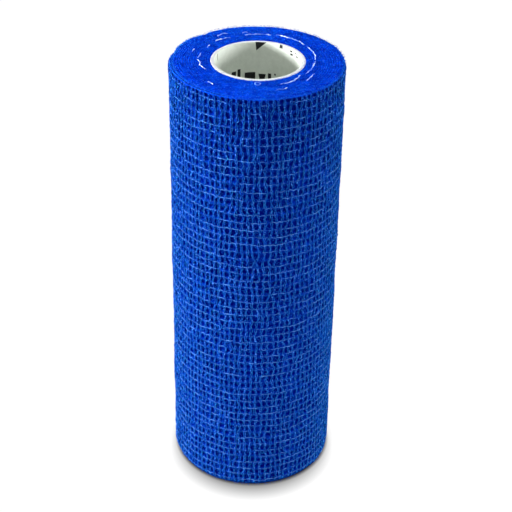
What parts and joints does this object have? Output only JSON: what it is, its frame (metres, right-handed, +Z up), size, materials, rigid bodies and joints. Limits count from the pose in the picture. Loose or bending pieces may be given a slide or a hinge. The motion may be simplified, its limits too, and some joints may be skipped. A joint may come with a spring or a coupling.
{
  "type": "self-adherent elastic bandage roll",
  "caption": "Roll of stretchy self-adherent wrap bandage for hands and wrists, wound on a paper core and standing on end, with a free end that peels away from the roll.",
  "frame": {"origin": "on the axis of the core's bore, in the plane of the end the roll stands on", "axes": "+Z up along the core's axis; +X to the right and -Y towards the viewer, with the free end's tip lying to the back left"},
  "size_m": [0.055, 0.0544, 0.1503],
  "materials": {
    "fleece_web": "matte",
    "elastic_yarn": "matte",
    "cross_yarn": "matte",
    "loose_yarn": "matte",
    "core_board": "matte",
    "printed_liner": "matte"
  },
  "bodies": {
    "roll": {"core_liner": "printed_liner", "core_inner_ply": "core_board", "core_outer_ply": "core_board", "wound_strip": "fleece_web", "last_turn_fleece": "fleece_web", "last_turn_elastic_yarns": "elastic_yarn", "last_turn_cross_yarns": "cross_yarn", "edge_yarn": "loose_yarn"},
    "tail_1": {"tail_1_fleece": "fleece_web", "tail_1_elastic_yarns": "elastic_yarn", "tail_1_cross_yarns": "cross_yarn"},
    "tail_2": {"tail_2_fleece": "fleece_web", "tail_2_elastic_yarns": "elastic_yarn", "tail_2_cross_yarns": "cross_yarn"},
    "tail_3": {"tail_3_fleece": "fleece_web", "tail_3_elastic_yarns": "elastic_yarn", "tail_3_cross_yarns": "cross_yarn"},
    "tail_4": {"tail_4_fleece": "fleece_web", "tail_4_elastic_yarns": "elastic_yarn", "tail_4_cross_yarns": "cross_yarn"},
    "tail_5": {"tail_5_fleece": "fleece_web", "tail_5_elastic_yarns": "elastic_yarn", "tail_5_cross_yarns": "cross_yarn"},
    "tail_6": {"tail_6_fleece": "fleece_web", "tail_6_elastic_yarns": "elastic_yarn", "tail_6_cross_yarns": "cross_yarn"},
    "tail_7": {"tail_7_fleece": "fleece_web", "tail_7_elastic_yarns": "elastic_yarn", "tail_7_cross_yarns": "cross_yarn"},
    "tail_8": {"tail_8_fleece": "fleece_web", "tail_8_elastic_yarns": "elastic_yarn", "tail_8_cross_yarns": "cross_yarn"}
  },
  "joints": [
    {"name": "tail_peel", "type": "hinge", "parent": "roll", "child": "tail_1", "pos_m": [-0.00863, -0.02605, 0.075], "axis": [0, 0, 1], "range_deg": [0, 25]},
    {"name": "tail_bend_2", "type": "hinge", "parent": "tail_1", "child": "tail_2", "pos_m": [-0.01512, -0.02296, 0.075], "axis": [0, 0, 1], "range_deg": [0, 25]},
    {"name": "tail_bend_3", "type": "hinge", "parent": "tail_2", "child": "tail_3", "pos_m": [-0.02059, -0.01829, 0.075], "axis": [0, 0, 1], "range_deg": [0, 25]},
    {"name": "tail_bend_4", "type": "hinge", "parent": "tail_3", "child": "tail_4", "pos_m": [-0.02466, -0.01236, 0.075], "axis": [0, 0, 1], "range_deg": [0, 25]},
    {"name": "tail_bend_5", "type": "hinge", "parent": "tail_4", "child": "tail_5", "pos_m": [-0.02706, -0.00559, 0.075], "axis": [0, 0, 1], "range_deg": [0, 25]},
    {"name": "tail_bend_6", "type": "hinge", "parent": "tail_5", "child": "tail_6", "pos_m": [-0.02762, 0.00158, 0.075], "axis": [0, 0, 1], "range_deg": [0, 25]},
    {"name": "tail_bend_7", "type": "hinge", "parent": "tail_6", "child": "tail_7", "pos_m": [-0.02631, 0.00865, 0.075], "axis": [0, 0, 1], "range_deg": [0, 25]},
    {"name": "tail_bend_8", "type": "hinge", "parent": "tail_7", "child": "tail_8", "pos_m": [-0.02322, 0.01513, 0.075], "axis": [0, 0, 1], "range_deg": [0, 25]}
  ],
  "couplings": [
    {"joint": "tail_bend_2", "follows": "tail_peel", "ratio": 1},
    {"joint": "tail_bend_3", "follows": "tail_peel", "ratio": 1},
    {"joint": "tail_bend_4", "follows": "tail_peel", "ratio": 1},
    {"joint": "tail_bend_5", "follows": "tail_peel", "ratio": 1},
    {"joint": "tail_bend_6", "follows": "tail_peel", "ratio": 1},
    {"joint": "tail_bend_7", "follows": "tail_peel", "ratio": 1},
    {"joint": "tail_bend_8", "follows": "tail_peel", "ratio": 1}
  ]
}
